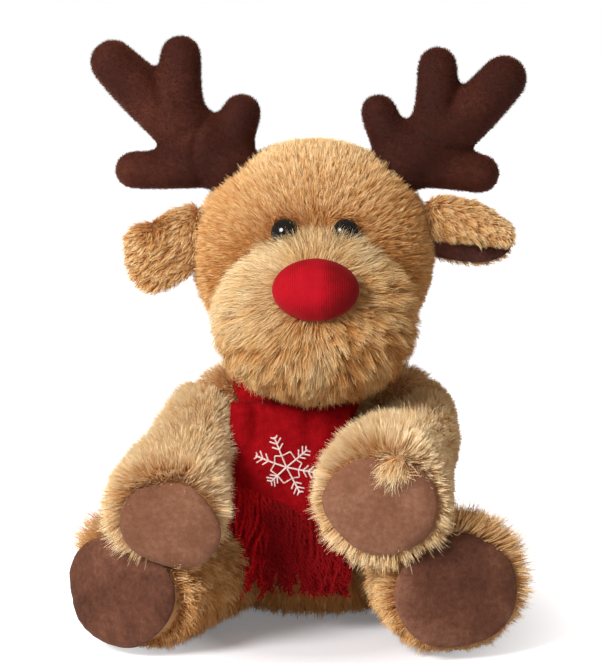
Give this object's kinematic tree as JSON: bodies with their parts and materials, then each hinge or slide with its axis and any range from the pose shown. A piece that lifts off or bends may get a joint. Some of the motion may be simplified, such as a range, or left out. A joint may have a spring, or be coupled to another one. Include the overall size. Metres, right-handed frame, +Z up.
{
  "type": "plush deer",
  "caption": "Seated plush deer with a big round muzzle, a red nose, stuffed antlers, floppy ears and a fringed scarf that carries a stitched snowflake.",
  "frame": {"origin": "the middle of the flat seat, on the surface the deer sits on", "axes": "+Z up through the head, -Y the way the deer faces, +X to the viewer's right"},
  "size_m": [0.2313, 0.2222, 0.3042],
  "materials": {
    "plush": "long-pile plush",
    "long_plush": "long-pile plush, brushed out from the nose",
    "antler_velour": "short-nap velour",
    "pad_velour": "short-nap velour",
    "ear_lining": "short-nap velour",
    "red_cloth": "woven",
    "nose_cloth": "ribbed cloth",
    "white_thread": "embroidery thread",
    "tan_thread": "sewing thread and seam cloth",
    "eye_plastic": "polished",
    "washer_plastic": "matte",
    "filling": "loose fibre filling",
    "bead_cloth": "cloth bag filled with plastic beads"
  },
  "bodies": {
    "torso": {"body_cover": "plush", "body_stuffing": "filling", "bead_bag": "bead_cloth", "closing_stitch": "tan_thread", "scarf_loop": "red_cloth"},
    "neck": {"neck_seam": "tan_thread"},
    "head": {"head_cover": "plush", "head_stuffing": "filling", "muzzle_cover": "long_plush", "muzzle_stuffing": "filling", "nose_cover": "nose_cloth", "nose_stuffing": "filling", "eye_left": "eye_plastic", "eye_right": "eye_plastic", "eye_washer_left": "washer_plastic", "eye_washer_right": "washer_plastic"},
    "antler_left": {"antler_left_cover": "antler_velour", "antler_left_stuffing": "filling"},
    "ear_left": {"ear_left_back": "plush", "ear_left_lining": "ear_lining"},
    "arm_left": {"arm_left_cover": "plush", "arm_left_stuffing": "filling", "paw_pad_left": "pad_velour"},
    "leg_left": {"leg_left_cover": "plush", "leg_left_stuffing": "filling", "sole_left": "pad_velour"},
    "antler_right": {"antler_right_cover": "antler_velour", "antler_right_stuffing": "filling"},
    "ear_right": {"ear_right_back": "plush", "ear_right_lining": "ear_lining"},
    "arm_right": {"arm_right_cover": "plush", "arm_right_stuffing": "filling", "paw_pad_right": "pad_velour"},
    "leg_right": {"leg_right_cover": "plush", "leg_right_stuffing": "filling", "sole_right": "pad_velour"},
    "tail": {"tail_cover": "plush", "tail_stuffing": "filling"},
    "scarf_tails": {"scarf_top_tail": "red_cloth", "scarf_under_tail": "red_cloth", "scarf_top_fringe": "red_cloth", "scarf_under_fringe": "red_cloth", "snowflake": "white_thread"}
  },
  "joints": [
    {"name": "head_turn", "type": "hinge", "parent": "torso", "child": "neck", "pos_m": [0, 0, 0.105], "axis": [0, 0, 1], "range_deg": [-20, 20], "stiffness_Nm_per_rad": 1.2},
    {"name": "head_nod", "type": "hinge", "parent": "neck", "child": "head", "pos_m": [0, 0, 0.105], "axis": [-1, 0, 0], "range_deg": [-2, 10], "stiffness_Nm_per_rad": 1.6},
    {"name": "arm_left_lift", "type": "hinge", "parent": "torso", "child": "arm_left", "pos_m": [-0.055, -0.004, 0.103], "axis": [-0.866, 0, -0.5], "range_deg": [0, 25], "stiffness_Nm_per_rad": 0.35},
    {"name": "leg_left_spread", "type": "hinge", "parent": "torso", "child": "leg_left", "pos_m": [-0.047, -0.035, 0.031], "axis": [0, 0, -1], "range_deg": [0, 8], "stiffness_Nm_per_rad": 0.6},
    {"name": "antler_left_flop", "type": "hinge", "parent": "head", "child": "antler_left", "pos_m": [-0.0455, 0, 0.237], "axis": [1, 0, 0], "range_deg": [-15, 15], "stiffness_Nm_per_rad": 0.12},
    {"name": "ear_left_flop", "type": "hinge", "parent": "head", "child": "ear_left", "pos_m": [-0.0705, -0.006, 0.207], "axis": [0, -1, 0], "range_deg": [-10, 10], "stiffness_Nm_per_rad": 0.03},
    {"name": "arm_right_lift", "type": "hinge", "parent": "torso", "child": "arm_right", "pos_m": [0.055, -0.004, 0.103], "axis": [-0.866, 0, 0.5], "range_deg": [0, 12], "stiffness_Nm_per_rad": 0.35},
    {"name": "leg_right_spread", "type": "hinge", "parent": "torso", "child": "leg_right", "pos_m": [0.047, -0.035, 0.031], "axis": [0, 0, 1], "range_deg": [0, 20], "stiffness_Nm_per_rad": 0.6},
    {"name": "antler_right_flop", "type": "hinge", "parent": "head", "child": "antler_right", "pos_m": [0.0455, 0, 0.237], "axis": [1, 0, 0], "range_deg": [-15, 15], "stiffness_Nm_per_rad": 0.12},
    {"name": "ear_right_flop", "type": "hinge", "parent": "head", "child": "ear_right", "pos_m": [0.0705, -0.006, 0.207], "axis": [0, 1, 0], "range_deg": [-10, 10], "stiffness_Nm_per_rad": 0.03},
    {"name": "tail_wag", "type": "hinge", "parent": "torso", "child": "tail", "pos_m": [0, 0.05793, 0.03], "axis": [0, 0, 1], "range_deg": [-12, 12], "stiffness_Nm_per_rad": 0.03},
    {"name": "scarf_tails_lift", "type": "hinge", "parent": "torso", "child": "scarf_tails", "pos_m": [0, -0.055, 0.11], "axis": [-1, 0, 0], "range_deg": [0, 4]}
  ]
}
